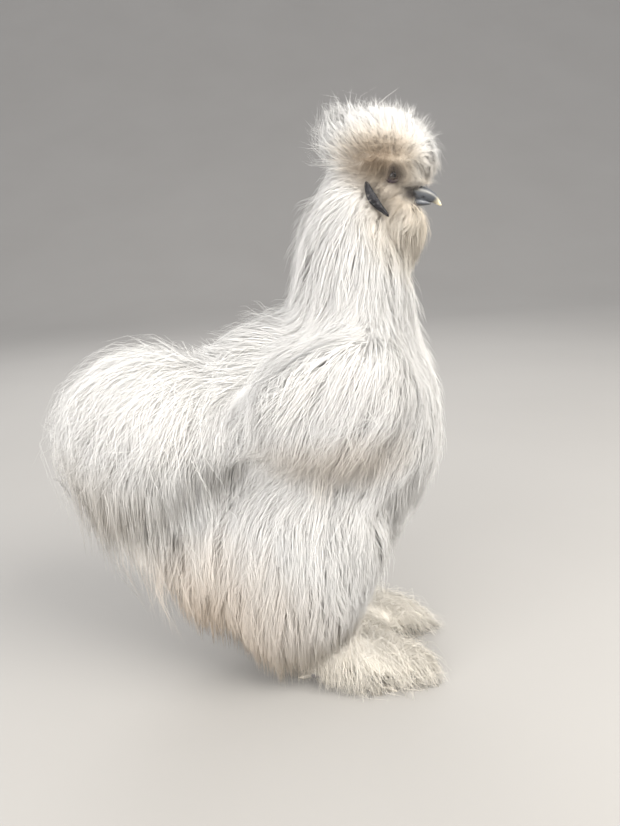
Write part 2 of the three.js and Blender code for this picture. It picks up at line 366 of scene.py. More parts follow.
# %% Groups: pebbles and streaks
FOLD_SCALE, CELL_DEPTH = 0.35, -0.8
pebbles, pebbles_in, pebbles_out = new_group(
    "pebbled_skin", {"Position": ("Vector", None), "Scale": ("Float", 900.0)},
    {"Height": "Float", "Folds": "Float"})
place, scale = (pebbles_in.outputs[key] for key in ("Position", "Scale"))
cells = add(pebbles, "TexVoronoi", {"Vector": place, "Scale": scale}, feature="SMOOTH_F1")
folds = noise(pebbles, place, math(pebbles, "MULTIPLY", scale, FOLD_SCALE), 4)
height = math(pebbles, "MULTIPLY_ADD", cells.outputs["Distance"], CELL_DEPTH, folds)
fill(pebbles, pebbles_out, {"Height": height, "Folds": folds})

streaks, streaks_in, streaks_out = new_group(
    "horn_streaks", {"Position": ("Vector", None), "Stretch": ("Vector", (180, 1500, 1500))},
    {"Height": "Float"})
place, stretch = (streaks_in.outputs[key] for key in ("Position", "Stretch"))
drawn = add(streaks, "VectorMath", {0: place, 1: stretch}, operation="MULTIPLY").outputs[0]
fill(streaks, streaks_out, {"Height": noise(streaks, drawn, 1.0, 5)})
print("groups:", [g.name for g in bpy.data.node_groups])


# %% [markdown]
# ## Materials
# A plume is mostly air and pale fibre: light goes into it and comes out of the other side. A
# plain white paint looks like plaster on it, so a share of the light is let through by a
# Translucent shader. The skin under it carries the same tint. Bare skin is dark mulberry, as on
# every silkie, and the horn of the bill is slate blue that pales at the tip and the edge.

# %% Plumage and down
def new_material(name):
    """A material with its tree, its Principled shader and the object's coordinates."""
    material = bpy.data.materials.new(name)
    material.use_nodes = True
    tree = material.node_tree
    return material, tree, tree.nodes["Principled BSDF"], add(tree, "TexCoord").outputs["Object"]


def use_group(tree, group, **inputs):
    """The outputs of a group placed in a tree."""
    return add(tree, "Group", inputs, node_tree=group).outputs


def attribute(tree, name):
    """The value that a mesh carries under this name."""
    return add(tree, "Attribute", attribute_name=name).outputs["Fac"]


TONE_SPAN, DARKEST_TONE = 0.10, 0.92
# Painted shade: the plumage is darkened towards the root of each tassel, where the coat is deep.
ROOT_PAINTED_SHADE, ROOT_PAINTED_SHADE_COLOUR = 0.15, (0.80, 0.74, 0.64)
LIGHT_THROUGH = 0.5
plumage, tree, principled, place = new_material("silkie_plumage")
tone = math(tree, "MULTIPLY_ADD", attribute(tree, "tone"), TONE_SPAN, DARKEST_TONE)
near_root = math(tree, "SUBTRACT", 1.0, attribute(tree, "reach"), clamp=True)
toned = mix_colour(tree, 1.0, use_group(tree, tint, Position=place)["Color"], tone, "MULTIPLY")
# Painted shade towards the roots, by the tassel's reach.
shaded = mix_colour(tree, math(tree, "MULTIPLY", near_root, ROOT_PAINTED_SHADE), toned, ROOT_PAINTED_SHADE_COLOUR, "MULTIPLY")
fill(tree, principled, {"Base Color": shaded, "Roughness": 0.8, "Specular IOR Level": 0.12})
glow = add(tree, "BsdfTranslucent", {"Color": shaded})
both = add(tree, "MixShader", {0: LIGHT_THROUGH, 1: principled.outputs[0], 2: glow.outputs[0]})
fill(tree, tree.nodes["Material Output"], {"Surface": both.outputs[0]})

down, tree, principled, place = new_material("down_over_skin")
fill(tree, principled, {
    "Base Color": use_group(tree, tint, Position=place)["Color"],
    "Normal": bumped(tree, noise(tree, place, 900, 6), 0.8, 0.001),
    "Roughness": 0.9, "Specular IOR Level": 0.1})


# %% Bare skin, horn and eye
# Painted light and shade on bare skin: lighter on the folds and darker in the creases between them.
CREASE_SHADE_CONTRAST, CREASE_SHADE_SHIFT = 2.2, -0.7
GROOVE_SHARE, GROOVE_DARK, GROOVE_ROUGH = 0.7, 0.45, 0.22


def bare_skin(name, dark, light, scale, roughness, relief):
    """Pebbled skin, with painted light and shade: lighter on the folds and darker in the creases between
    them.
    """
    material, tree, principled, place = new_material(name)
    made = use_group(tree, pebbles, Position=place, Scale=scale)
    # Painted shade in the creases: the colour follows the folds of the relief.
    share = math(tree, "MULTIPLY_ADD", made["Folds"], CREASE_SHADE_CONTRAST, CREASE_SHADE_SHIFT, clamp=True)
    fill(tree, principled, {
        "Base Color": mix_colour(tree, share, dark, light),
        "Normal": bumped(tree, made["Height"], 0.9, relief),
        "Roughness": roughness, "Specular IOR Level": 0.3,
        "Subsurface Weight": 0.05, "Subsurface Radius": (0.002, 0.001, 0.001)})
    return material


mulberry = bare_skin("mulberry_skin", (0.012, 0.008, 0.010), (0.075, 0.055, 0.065), 1100, 0.42, 0.0006)
lobe_skin = bare_skin("lobe_skin", (0.002, 0.002, 0.003), (0.014, 0.013, 0.016), 800, 0.5, 0.0008)
toe_skin = bare_skin("slate_toe_skin", (0.045, 0.045, 0.055), (0.16, 0.15, 0.16), 1500, 0.45, 0.0003)


def horn(name, base, pale, stretch, roughness):
    """Streaked horn that pales where the mesh's attribute 'worn' rises."""
    material, tree, principled, place = new_material(name)
    height = use_group(tree, streaks, Position=place, Stretch=stretch)["Height"]
    groove = [GROOVE_DARK * c for c in base]
    body = mix_colour(tree, math(tree, "MULTIPLY", height, GROOVE_SHARE), base, groove)
    fill(tree, principled, {
        "Base Color": mix_colour(tree, attribute(tree, "worn"), body, pale),
        "Roughness": math(tree, "MULTIPLY_ADD", height, GROOVE_ROUGH, roughness),
        "Normal": bumped(tree, height, 0.5, 0.0003)})
    return material


bill_horn = horn("slate_bill_horn", (0.068, 0.074, 0.086), (0.60, 0.54, 0.38), (160, 1700, 1700), 0.30)
claw_horn = horn("claw_horn", (0.24, 0.22, 0.20), (0.50, 0.45, 0.37), (250, 1500, 1500), 0.28)

EYE_RINGS = [  # pupil, iris and rim: share of a quarter turn off the axis, and colour
    (0.0, (0.004, 0.004, 0.005)), (0.30, (0.004, 0.004, 0.005)), (0.36, (0.030, 0.014, 0.008)),
    (0.62, (0.045, 0.022, 0.012)), (0.70, (0.012, 0.008, 0.008)), (1.0, (0.03, 0.022, 0.022))]
eye_wet, tree, principled, _ = new_material("wet_eye")
ramp = add(tree, "ValToRGB", {0: attribute(tree, "off_axis")})
for (position, shade), element in zip(EYE_RINGS, [*ramp.color_ramp.elements, None, None, None, None]):
    element = element or ramp.color_ramp.elements.new(position)
    element.position, element.color = position, (*shade, 1)
fill(tree, principled, {
    "Base Color": ramp.outputs["Color"], "Roughness": 0.12, "Coat Weight": 1.0, "Coat Roughness": 0.02})
print("materials:", [m.name for m in bpy.data.materials if m.users or m.node_tree])

# %% [markdown]
# ## One skin
# Trunk, neck, head, wings and legs run into each other without a seam. The bodies could be
# joined by exact booleans, which leave sharp creases. Instead every body is made 23 mm too
# large, all of them are put in one mesh, a voxel remesh takes the outside of them all, and that
# surface is drawn in again by as much. What was a crease comes back as a soft hollow, because
# its two sides part as they draw in. Head, crest, beard and feet are small, so they get 6 mm.

# %% Skin
BODY_CLOSING, HEAD_CLOSING = 23, 6
BODY_VOXEL, HEAD_VOXEL, SKIN_VOXEL = 0.0036, 0.0022, 0.0026
BODY_ROWS, BODY_SIDES = 40, 48
SHANK_RADIUS, SHANK_FOOT, SHANK_MIDDLE = 6, 6, (-2, 32)
def one_surface(name, parts, voxel, closing, rounds):
    """Outside of all the parts: remeshed, drawn in by the closing distance, then smoothed."""
    thing = bpy.data.objects.new(name, mesh_of(name, *joined(parts)))
    bpy.context.scene.collection.objects.link(thing)
    remesh = thing.modifiers.new("outside", "REMESH")
    remesh.mode, remesh.voxel_size, remesh.use_smooth_shade = "VOXEL", voxel, True
    settle = thing.modifiers.new("settle", "SMOOTH")
    settle.factor, settle.iterations = 0.5, 5
    draw_in = thing.modifiers.new("draw_in", "DISPLACE")
    draw_in.direction, draw_in.mid_level, draw_in.strength = "NORMAL", 0.0, -closing
    soften = thing.modifiers.new("soften", "SMOOTH")
    soften.factor, soften.iterations = 0.5, rounds
    mesh = bpy.data.meshes.new_from_object(thing.evaluated_get(bpy.context.evaluated_depsgraph_get()))
    bpy.data.objects.remove(thing)
    mesh.name = name
    return mesh


def arrays_of(mesh):
    """Points, normals and triangles of a mesh as arrays."""
    mesh.calc_loop_triangles()
    corner = np.empty(len(mesh.loop_triangles) * 3, np.int32)
    mesh.loop_triangles.foreach_get("vertices", corner)
    found = []
    for data, key in ((mesh.vertices, "co"), (mesh.vertex_normals, "vector")):
        values = np.empty(len(mesh.vertices) * 3, np.float32)
        data.foreach_get(key, values)
        found.append(values.reshape(-1, 3).astype(float))
    return found[0], found[1], corner.reshape(-1, 3)


def made_larger(names, by):
    """The named bodies, each drawn in by its coat's depth and then made larger, in mm."""
    return [closed_grid(body_grid(name, BODY_ROWS, BODY_SIDES, BODIES[name][2] - by)) for name in names]


SMALL = ["head", "crest", "beard", "foot_right", "foot_left"]
large_parts = made_larger([name for name in BODIES if name not in SMALL], BODY_CLOSING)
large = one_surface("large", large_parts, BODY_VOXEL, BODY_CLOSING * MM, 6)
small_parts = made_larger(SMALL, HEAD_CLOSING)
thick = [SHANK_RADIUS + HEAD_CLOSING] * 2
for where, side in SIDES.items():
    shank = [(*at_foot(where, 0, 0, SHANK_FOOT), *thick),
             (*at_foot(where, SHANK_MIDDLE[0], 0, SHANK_MIDDLE[1]), *thick),
             (HOCK[0], STANCE_HALF * side, HOCK[1], *thick)]
    small_parts.append(closed_grid(body_grid((shank, 0.35, 0), 16, 20)))
small = one_surface("small", small_parts, HEAD_VOXEL, HEAD_CLOSING * MM, 2)
both = [(points, triangles) for points, _, triangles in (arrays_of(large), arrays_of(small))]
surface = one_surface("skin", both, SKIN_VOXEL, 0, 4)
FLESH = ["trunk", "neck", "head", "crest", "beard", "tail", "abdomen"]
FLESH += [f"{part}_{where}" for part in ("wing", "thigh", "foot") for where in SIDES]
show("skin", surface, down, "body_plumage", *FLESH)
print("skin:", len(surface.vertices), "vertices,", len(surface.polygons), "faces")

# %% [markdown]
# ## The skin as a map
# Plumes could be set with a particle system, but hair particles are lost when the model leaves
# Blender, so they are meshes from the start, worked out as arrays. For that, the script must
# know the nearest skin to any point. A lattice keeps it: each cell holds the number of a skin
# vertex, and cells pass better answers to each other in hops of 8, 4, 2 and 1 cells.

# %% Nearest skin to any point
skin_at, skin_normal, corner = arrays_of(surface)
CELL, MARGIN = 3.5 * MM, 0.045
lattice_low = skin_at.min(0) - MARGIN
lattice_size = np.ceil((skin_at.max(0) + MARGIN - lattice_low) / CELL).astype(int) + 1


def cell_of(points):
    """The lattice cell of each point, as three index arrays."""
    place = np.rint((points - lattice_low) / CELL).astype(int)
    return tuple(np.clip(place, 0, lattice_size - 1).T)


spots = np.stack(np.meshgrid(*map(np.arange, lattice_size), indexing="ij"), -1).astype(np.float32)
spots = (spots * CELL + lattice_low).astype(np.float32)
nearest_vertex = np.full(lattice_size, -1)
nearest_vertex[cell_of(skin_at)] = np.arange(len(skin_at))
skin_small = skin_at.astype(np.float32)
gap = np.where(nearest_vertex < 0, np.inf, ((spots - skin_small[nearest_vertex]) ** 2).sum(-1))
for hop in (8, 4, 2, 1, 1, 1):
    for axis in range(3):
        for step in (-hop, hop):
            other = np.roll(nearest_vertex, step, axis)
            new_gap = np.where(other < 0, np.inf, ((spots - skin_small[other]) ** 2).sum(-1))
            better = new_gap < gap
            nearest_vertex[better], gap[better] = other[better], new_gap[better]


def on_skin(points):
    """Point less its height over the plane of the nearest vertex, and that vertex's normal."""
    vertex = nearest_vertex[cell_of(points)]
    normal = skin_normal[vertex]
    return points - normal * ((points - skin_at[vertex]) * normal).sum(1)[:, None], normal


known = int((nearest_vertex >= 0).mean() * 100)
print("lattice:", tuple(int(n) for n in lattice_size), "cells,", known, "% know their skin")

# %% [markdown]
# ## Which way the plumage lies
# Each part of the bird has its own plumage: short on the breast, hanging hackle on the neck, a
# cushion of long plumes over the tail. On the bird these run into each other, so they are stated
# as fields and blended. A field has a pole that its plumes stream away from, a way that they
# fall, and their length, their stand off the skin and their width. Close to a field's own body
# its share is nearly one, and between two bodies the shares change smoothly.

# %% Fields of plumage, in mm
FIELDS = {  # bodies or (centre, radius) blobs: pole, spread, fall, length, stand, width
    "trunk": (["trunk"], (70, 0, 262), 0.8, (-0.6, 0, -0.40), 38, 12, 0.40),
    "breast": ([((84, 0, 205), 52)], (62, 0, 310), 0.5, (-0.05, 0, -0.85), 32, 9, 0.38),
    "saddle": ([((-22, 0, 234), 44)], (60, 0, 232), 0.9, (-0.5, 0, 0.0), 46, 21, 0.40),
    "neck": (["neck"], (38, 0, 420), 0.5, (-0.22, 0, -0.80), 46, 11.5, 0.38),
    "nape": ([((16, 0, 322), 22)], (56, 0, 346), 1.0, (-0.3, 0, -0.6), 34, 16, 0.36),
    "tail": (["tail"], (-40, 0, 252), 1.0, (-0.12, 0, -0.34), 60, 17, 0.42),
    "abdomen": (["abdomen"], (-40, 0, 230), 0.5, (-0.2, 0, -0.75), 36, 15, 0.38),
    "wing": (["wing_left"], (62, 34, 330), 0.6, (-0.4, 0, -0.5), 46, 12, 0.40),
    "shoulder": ([((62, 46, 244), 14), ((34, 56, 250), 14), ((2, 56, 236), 14)],
                 (62, 34, 330), 0.6, (-0.4, 0, -0.5), 50, 17, 0.38),
    "fringe": ([((40, 70, 184), 12), ((14, 70, 180), 14), ((-14, 68, 168), 14)],
               (20, 40, 240), 0.4, (-0.2, 0, -0.9), 34, 11, 0.34),
    "thigh": (["thigh_left"], (5, 20, 230), 0.4, (-0.1, 0, -0.9), 34, 11, 0.38),
    "foot": (["foot_left"], (-10, 24, 37), 1.0, (0.2, 0, -0.1), 39, 15, 0.34),
    "ankle": ([((20, 30, 38), 25)], (-4, 20, 84), 0.8, (0.25, 0.15, -0.6), 34, 16, 0.34),
    "heel": ([((-16, 25, 20), 15)], (14, 24, 60), 0.8, (-0.4, 0.05, -0.5), 34, 12, 0.38),
    "crest": ([((52, 0, 362), 20), ((66, 0, 360), 17)],
              (57, 20, 336), 1.0, (0, 0, 0), 25, 14, 0.26),
    "crest_front": ([((82, 4, 349), 14)], (57, 16, 340), 1.0, (0.15, 0, -0.8), 23, 11, 0.26),
    "forelock": ([((75, 10, 342), 9)], (56, 14, 352), 0.7, (0.35, 0, -0.9), 16, 7, 0.24),
    "crest_back": ([((28, 8, 358), 15)], (56, 14, 340), 1.0, (-0.05, 0, 0.35), 28, 19, 0.30),
    "brow": ([((56, 17, 346), 7), ((64, 15, 345), 6)],
             (58, 19, 333), 1.0, (0, 0, 0.1), 18, 8, 0.24),
    "temple": ([((26, 15, 338), 13), ((14, 10, 338), 13)],
               (58, 18, 336), 1.0, (-0.3, 0, -0.25), 24, 10, 0.30),
    "beard": (["beard"], (76, 0, 346), 0.6, (-0.40, 0.1, -0.6), 21, 7.5, 0.27),
    "cheek": ([((50, 18, 322), 14)], (84, 6, 342), 0.7, (-0.45, 0.05, -0.55), 17, 6, 0.25),
    "face": (["head"], (86, 0, 330), 1.0, (-0.3, 0, -0.1), 7.5, 3.2, 0.22),
    "lores": ([((73, 6, 327), 8)], (92, 0, 326), 1.0, (-0.2, 0, 0), 3.2, 1.1, 0.20),
}
FIELD_NAMES = list(FIELDS)
SHARPNESS = 7  # how quickly one field gives way to the next
STANDS_UP_UNDER = 1.3  # a lie shorter than one over this lets the plumes stand up


def blobs_of(sources):
    """Centres and radii in metres: seven along a body, or the ones that are given."""
    if isinstance(sources[0], str):
        centre, _, _, _, reach = sections(sources[0], np.linspace(0.08, 0.92, 7), BODIES[sources[0]][2])
        return centre, reach.mean(1)
    centres, radii = zip(*sources)
    return placed(centres), np.array([radius * MM for radius in radii])


def one_sided(points):
    """The points, with those of the right side mirrored to the left."""
    return np.c_[points[:, 0], np.abs(points[:, 1]), points[:, 2]]


sources, poles, spreads, falls, *sizes = zip(*FIELDS.values())
field_blobs = [blobs_of(source) for source in sources]
field_pole, field_spread, field_fall = placed(poles), np.array(spreads), np.array(falls, float)
field_size = np.stack(sizes, 1) * MM


def shares_at(points):
    """exp(-SHARPNESS * distance / radius) of each field's nearest blob, made to add up to one."""
    ratio = np.stack([
        (np.linalg.norm(one_sided(points)[:, None] - centre[None], axis=2) / radius).min(1)
        for centre, radius in field_blobs], 1)
    share = np.exp(-SHARPNESS * (ratio - ratio.min(1, keepdims=True)))
    return share / share.sum(1, keepdims=True)


def lie_at(points, normal):
    """Sum over fields of share * (spread * unit(point - pole) + fall), laid into the skin. Its
    length is one, and less near a pole, so that the plumes there stand up."""
    ways = unit(one_sided(points)[:, None] - field_pole[None]) * field_spread[:, None] + field_fall
    way = (shares_at(points)[..., None] * ways).sum(1)
    way[:, 1] *= np.where(points[:, 1] < 0, -1, 1)
    way -= normal * (way * normal).sum(1)[:, None]
    return unit(way) * np.minimum(STANDS_UP_UNDER * np.linalg.norm(way, axis=1, keepdims=True), 1)


triangle_corners = skin_at[corner]
edges = triangle_corners[:, 1:] - triangle_corners[:, :1]
triangle_area = np.linalg.norm(np.cross(edges[:, 0], edges[:, 1]), axis=1) / 2
triangle_middle = triangle_corners.mean(1)
triangle_field = np.concatenate([shares_at(some).argmax(1) for some in np.array_split(triangle_middle, 12)])


def triangles_of(fields):
    """Numbers of the skin's triangles that these fields own."""
    return np.flatnonzero(np.isin(triangle_field, [FIELD_NAMES.index(name) for name in fields]))


print("cm2 of skin:", {name: round(float(triangle_area[triangles_of([name])].sum() * 1e4), 1)
                       for name in FIELD_NAMES})

# %% [markdown]
# ## The bird's own unwrap
# Each plume gets a small patch on a map of the skin, at the place of its root. A view from one
# side would smear the far side. The bird's own unwrap is better: length along a body and angle
# round it, and for that each bit of skin learns which body it lies on and how far along.

# %% Body and length of each triangle
NAMES = list(BODIES)
MARK_ROWS, MARK_SIDES = 18, 20
marks, mark_body, mark_t = [], [], []
for n, name in enumerate(NAMES):
    marks.append(body_grid(name, MARK_ROWS, MARK_SIDES, BODIES[name][2])[1:-1].reshape(-1, 3))
    mark_body.append(np.full((MARK_ROWS - 1) * MARK_SIDES, n))
    mark_t.append(np.repeat(eased(MARK_ROWS)[1:-1], MARK_SIDES))
marks, mark_body, mark_t = np.vstack(marks), np.concatenate(mark_body), np.concatenate(mark_t)
closest = np.concatenate([
    ((marks**2).sum(1) - 2 * some @ marks.T).argmin(1) for some in np.array_split(triangle_middle, 32)])
triangle_body, triangle_t = mark_body[closest], mark_t[closest]


def unwrap(at, body, t):
    """u = angle round the body over a full turn, v = share of its length; a column for each body."""
    u, v = np.zeros(len(at)), np.zeros(len(at))
    present = np.unique(body)
    for column, number in enumerate(present):
        mine = body == number
        name = NAMES[number]
        centre, along, deep, across, reach = sections(name, t[mine])
        off = at[mine] - centre
        reach = np.maximum(reach, 1e-4)
        turn = np.arctan2((off * across).sum(1) / reach[:, 1], (off * deep).sum(1) / reach[:, 0])
        length = np.linalg.norm(np.diff(np.asarray(BODIES[name][0], float)[:, :3], axis=0), axis=1).sum()
        share = np.clip(t[mine] + (off * along).sum(1) / (length * MM), 0, 1)
        u[mine] = (column + 0.02 + 0.96 * (turn / (2 * np.pi) + 0.5)) / len(present)
        v[mine] = 0.01 + 0.98 * share
    return np.stack([u, v], 1)


print("unwrap columns:", len(NAMES))

# %% [markdown]
# ## One tassel
# A tassel is a closed spindle of two three-sided rings between its root and its tip, so twelve
# triangles: few enough to afford a hundred thousand of them. Its line is combed along the skin.
# It takes a step along the lie, drops to the skin there, and stands off it by more and more. Where
# the skin turns under, as at the belly, the line lets go and hangs.

# %% Comb a line
SHARES = np.array([0, 0.35, 0.7, 1.0])
HANG_GAIN, HANG_FROM = 2.2, 0.2  # tassels hang where the skin turns under by more than this

def turned(way, normal, angle):
    """way turned about the normal: way cos + (normal x way) sin."""
    return way * np.cos(angle)[:, None] + np.cross(normal, way) * np.sin(angle)[:, None]


def combed(at, normal, run, stand, arch, turn, loose):
    """Foot(k+1) = on skin(foot(k) + step * lie), height = stand * ((1 + arch) s - arch s^2)."""
    line, normals, ways = [at], [normal], []
    foot = at
    for k in range(3):
        way = turned(lie_at(foot, normals[-1]), normals[-1], turn)
        step = (run * (SHARES[k + 1] - SHARES[k]))[:, None]
        hang = (np.clip(-HANG_GAIN * normals[-1][:, 2] - HANG_FROM, 0, 1) * loose)[:, None]
        free = line[-1] + step * unit((1 - hang) * way + hang * np.array([0, 0, -1.0]))
        foot, normal = on_skin(np.where(hang > 0.5, free, foot + step * way))
        s = SHARES[k + 1]
        height = (stand * ((1 + arch) * s - arch * s * s))[:, None]
        held = foot + normal * height
        line.append(held + hang * (free - held))
        normals.append(normal)
        ways.append(way)
    ways.append(ways[-1])
    return np.stack(line, 1), np.stack(normals, 1), np.stack(ways, 1)


# %% Round a line into a spindle
RING_WIDTHS = np.array([1.0, 0.72])
RING_CORNERS = around(3)
FLATNESS, ROUNDNESS = 0.55, 0.16
TASSEL_FACES = np.array(
    [(0, 2, 1), (0, 3, 2), (0, 1, 3)]
    + [(1 + k, 1 + (k + 1) % 3, 4 + (k + 1) % 3) for k in range(3)]
    + [(1 + k, 4 + (k + 1) % 3, 4 + k) for k in range(3)]
    + [(4 + k, 4 + (k + 1) % 3, 7) for k in range(3)])
TASSEL_MAP = np.array([(0.5, 0), *((u, v) for v in (0.33, 0.66) for u in (0, 0.5, 1)), (0.5, 1)])
PATCH = 0.003


def spindles(line, normals, width, swell):
    """Rings of wide cos a + FLATNESS * out sin a about the two inner points. The shading is
    ROUNDNESS times the ring's own, plus the skin's."""
    ahead = unit(line[:, 2:] - line[:, :2])
    wide = unit(np.cross(normals[:, 1:3], ahead) + 1e-9)
    out = np.cross(ahead, wide)
    cos, sin = np.cos(RING_CORNERS)[:, None], np.sin(RING_CORNERS)[:, None]
    ring = wide[:, :, None] * cos + FLATNESS * out[:, :, None] * sin
    body = line[:, 1:3, None] + ring * (width[:, None] * RING_WIDTHS)[:, :, None, None]
    vertices = np.concatenate([line[:, :1], body.reshape(len(line), 6, 3), line[:, 3:]], 1)
    lean = normals + swell
    inner = (ROUNDNESS * unit(ring) + lean[:, 1:3, None]).reshape(len(line), 6, 3)
    return vertices, unit(np.concatenate([lean[:, :1], inner, lean[:, 3:]], 1))


def coat_mesh(name, vertices, shade, tones, places):
    """Every tassel's eight points and twelve faces in one mesh, with its tone, reach and patch."""
    count = len(vertices)
    faces = (TASSEL_FACES[None] + 8 * np.arange(count)[:, None, None]).reshape(-1, 3)
    mesh = mesh_of(name, vertices.reshape(-1, 3), faces)
    give(mesh, "tone", np.repeat(tones, 8))
    give(mesh, "reach", np.tile([0, *np.repeat(SHARES[1:3], 3), 1], count))
    patches = np.repeat(places, 8, axis=0) + PATCH * (np.tile(TASSEL_MAP, (count, 1)) - 0.5)
    layer = mesh.uv_layers.new(name="OFBake")
    layer.uv.foreach_set("vector", patches[faces.ravel()].astype(np.float32).ravel())
    mesh.normals_split_custom_set_from_vertices(shade.reshape(-1, 3))
    return mesh


# %% [markdown]
# ## Locks
# Silkie plumes cling to each other in locks. Random clumps would do for fur, but the locks of a
# bird are long in the way that they lie. So each root joins the lock whose centre is nearest when
# lengths along the lie count for half, and towards the tip the plumes of a lock draw together
# sideways, never lengthwise, so that each lock ends in a point of its own.

# %% Roots, locks and a whole coat
def roots_on(fields, count, rng):
    """Points spread by area: a triangle by its share of the area, then r1, r2 folded into it."""
    mine = triangles_of(fields)
    total = np.cumsum(triangle_area[mine])
    chosen = mine[np.searchsorted(total, (np.arange(count) + rng.random(count)) / count * total[-1])]
    r1, r2 = rng.random((2, count))
    r1, r2 = np.where(r1 + r2 > 1, 1 - r1, r1), np.where(r1 + r2 > 1, 1 - r2, r2)
    share = np.stack([1 - r1 - r2, r1, r2], 1)[..., None]
    at = (triangle_corners[chosen] * share).sum(1)
    normal = unit((skin_normal[corner[chosen]] * share).sum(1))
    return at, normal, triangle_body[chosen], triangle_t[chosen]


def locks_of(at, way, many, rng):
    """Number of the lock with the least 4 * distance^2 - 3 * (distance along its way)^2."""
    centre = rng.choice(len(at), many, replace=False)
    middle, along = at[centre].astype(np.float32), way[centre].astype(np.float32)
    found = []
    for some in np.array_split(at.astype(np.float32), 8):
        gap = (some**2).sum(1)[:, None] + (middle**2).sum(1) - 2 * some @ middle.T
        found.append((4 * gap - 3 * (some @ along.T - (middle * along).sum(1)) ** 2).argmin(1))
    return np.concatenate(found)


def average(values, own, many):
    """Mean of the values of each lock."""
    number = np.maximum(np.bincount(own, minlength=many), 1)
    flat = values.reshape(len(own), -1)
    total = np.stack([np.bincount(own, flat[:, i], many) for i in range(flat.shape[1])], 1)
    return (total / number[:, None]).reshape(many, *values.shape[1:])


LOCK_LENGTH, TASSEL_LENGTH = (0.84, 1.12), (0.72, 1.10)  # least and most, as factors
LOCK_STAND, TASSEL_STAND, TASSEL_WIDTH = (0.88, 1.08), (0.82, 1.05), (0.75, 1.25)
ODD_STAND, ODD_TURN, EVEN_TURN, ODD_GATHER, ODD_WIDTH = 1.4, 2, 0.5, 0.2, 0.7
LEAST_RUN, OUT_OF_GATHER, SWELL, OVER_FLOOR = 0.25, 0.6, 0.3, 0.0006


def grow_coat(name, seed, fields, count, slot, lock=90, gather=0.36, arch=0.8, stray=11, bow=0.8,
              loose=0.08, longer=1.0, sag=0.06, hang=1.0, lift=1.0, keep=None):
    """Combs count tassels from the roots of some fields, less those that keep refuses, gathers
    them in locks of about lock each and makes the piece. Length is the fields' times longer, and
    stand times lift; sag is the drop of the tip as a share of the length. A share loose of them
    is odd: it stands off further, strays more and gathers less."""
    rng = np.random.default_rng(seed)
    at, normal, body, t = roots_on(fields, count, rng)
    if keep is not None:
        kept = keep(at)
        at, normal, body, t = at[kept], normal[kept], body[kept], t[kept]
        count = len(at)
    long, stand, wide = (shares_at(at) @ field_size).T
    many = max(count // lock, 1)
    own = locks_of(at, unit(lie_at(at, normal)), many, rng)
    odd = rng.random(count) < loose
    long = long * longer * rng.uniform(*LOCK_LENGTH, many)[own] * rng.uniform(*TASSEL_LENGTH, count)
    stand = stand * lift * rng.uniform(*LOCK_STAND, many)[own] * rng.uniform(*TASSEL_STAND, count)
    stand = stand * np.where(odd, ODD_STAND, 1)
    turn = rng.normal(0, stray, many)[own]
    turn = np.radians(turn + rng.normal(0, stray, count) * np.where(odd, ODD_TURN, EVEN_TURN))
    run = np.sqrt(np.maximum(long**2 - stand**2, (LEAST_RUN * long) ** 2))
    line, normals, ways = combed(at, normal, run, stand, arch, turn, hang)
    aside = average(line, own, many)[own] - line
    level = unit(ways)
    aside -= level * (aside * level).sum(2)[..., None]
    aside -= normals * (OUT_OF_GATHER * (aside * normals).sum(2))[..., None]
    drawn = gather * np.where(odd, ODD_GATHER, 1)[:, None] * SHARES**1.2
    line = line + drawn[..., None] * aside
    wave = bow * MM * (1.5 * rng.normal(0, 1, many)[own] + 0.6 * rng.normal(0, 1, count))
    line = line + (wave[:, None] * np.sin(np.pi * SHARES))[..., None] * np.cross(normals, level)
    line[..., 2] -= (sag * long)[:, None] * SHARES**2
    line[..., 2] = np.maximum(line[..., 2], OVER_FLOOR)
    wide = wide / 2 * rng.uniform(*TASSEL_WIDTH, count) * np.where(odd, ODD_WIDTH, 1)
    lock_width = np.sqrt(triangle_area[triangles_of(fields)].sum() / many)
    vertices, shade = spindles(line, normals, wide, np.clip(-aside / lock_width, -SWELL, SWELL))
    tones = np.clip(0.5 + 0.2 * rng.normal(size=many)[own] + 0.16 * rng.normal(size=count), 0, 1)
    show(name, coat_mesh(name, vertices, shade, tones, unwrap(at, body, t)), plumage, slot)
    low, high = vertices.reshape(-1, 3).min(0), vertices.reshape(-1, 3).max(0)
    print(f"{name}: {count} tassels, {12 * count} triangles, {many} locks, box",
          np.round(low / MM).astype(int), np.round(high / MM).astype(int))


# %% [markdown]
# ## The coats
# Breast and back are short and lie close. The hackle hangs from the head over the shoulders.
# The tail is a cushion of long plumes that stream from the saddle, with a few wisps that stand
# off it. Thighs and belly are fluff that hangs nearly to the floor. The crest stands up like a
# powder puff, with a forelock that falls over the comb, and short down closes it over the brow.

# %% Grow every region
EYE_OPENING, EYE_CLEAR = (57, 16, 338), 0.007
TAIL_SPLIT = 0.17
BROW_HEIGHT, BROW_BAND, BROW_FROM, BROW_OFF_MIDDLE = 0.346, 0.01, 0.07, 0.012


def off_the_eye(at):
    """True where a root is more than EYE_CLEAR from the middle of either eye's opening."""
    return np.linalg.norm(one_sided(at) - placed(EYE_OPENING), axis=1) > EYE_CLEAR


def on_the_brow(at):
    """True in a band over the eyes, away from them and from the middle of the head."""
    band = (abs(at[:, 2] - BROW_HEIGHT) < BROW_BAND) & (at[:, 0] > BROW_FROM)
    return off_the_eye(at) & band & (abs(at[:, 1]) > BROW_OFF_MIDDLE)


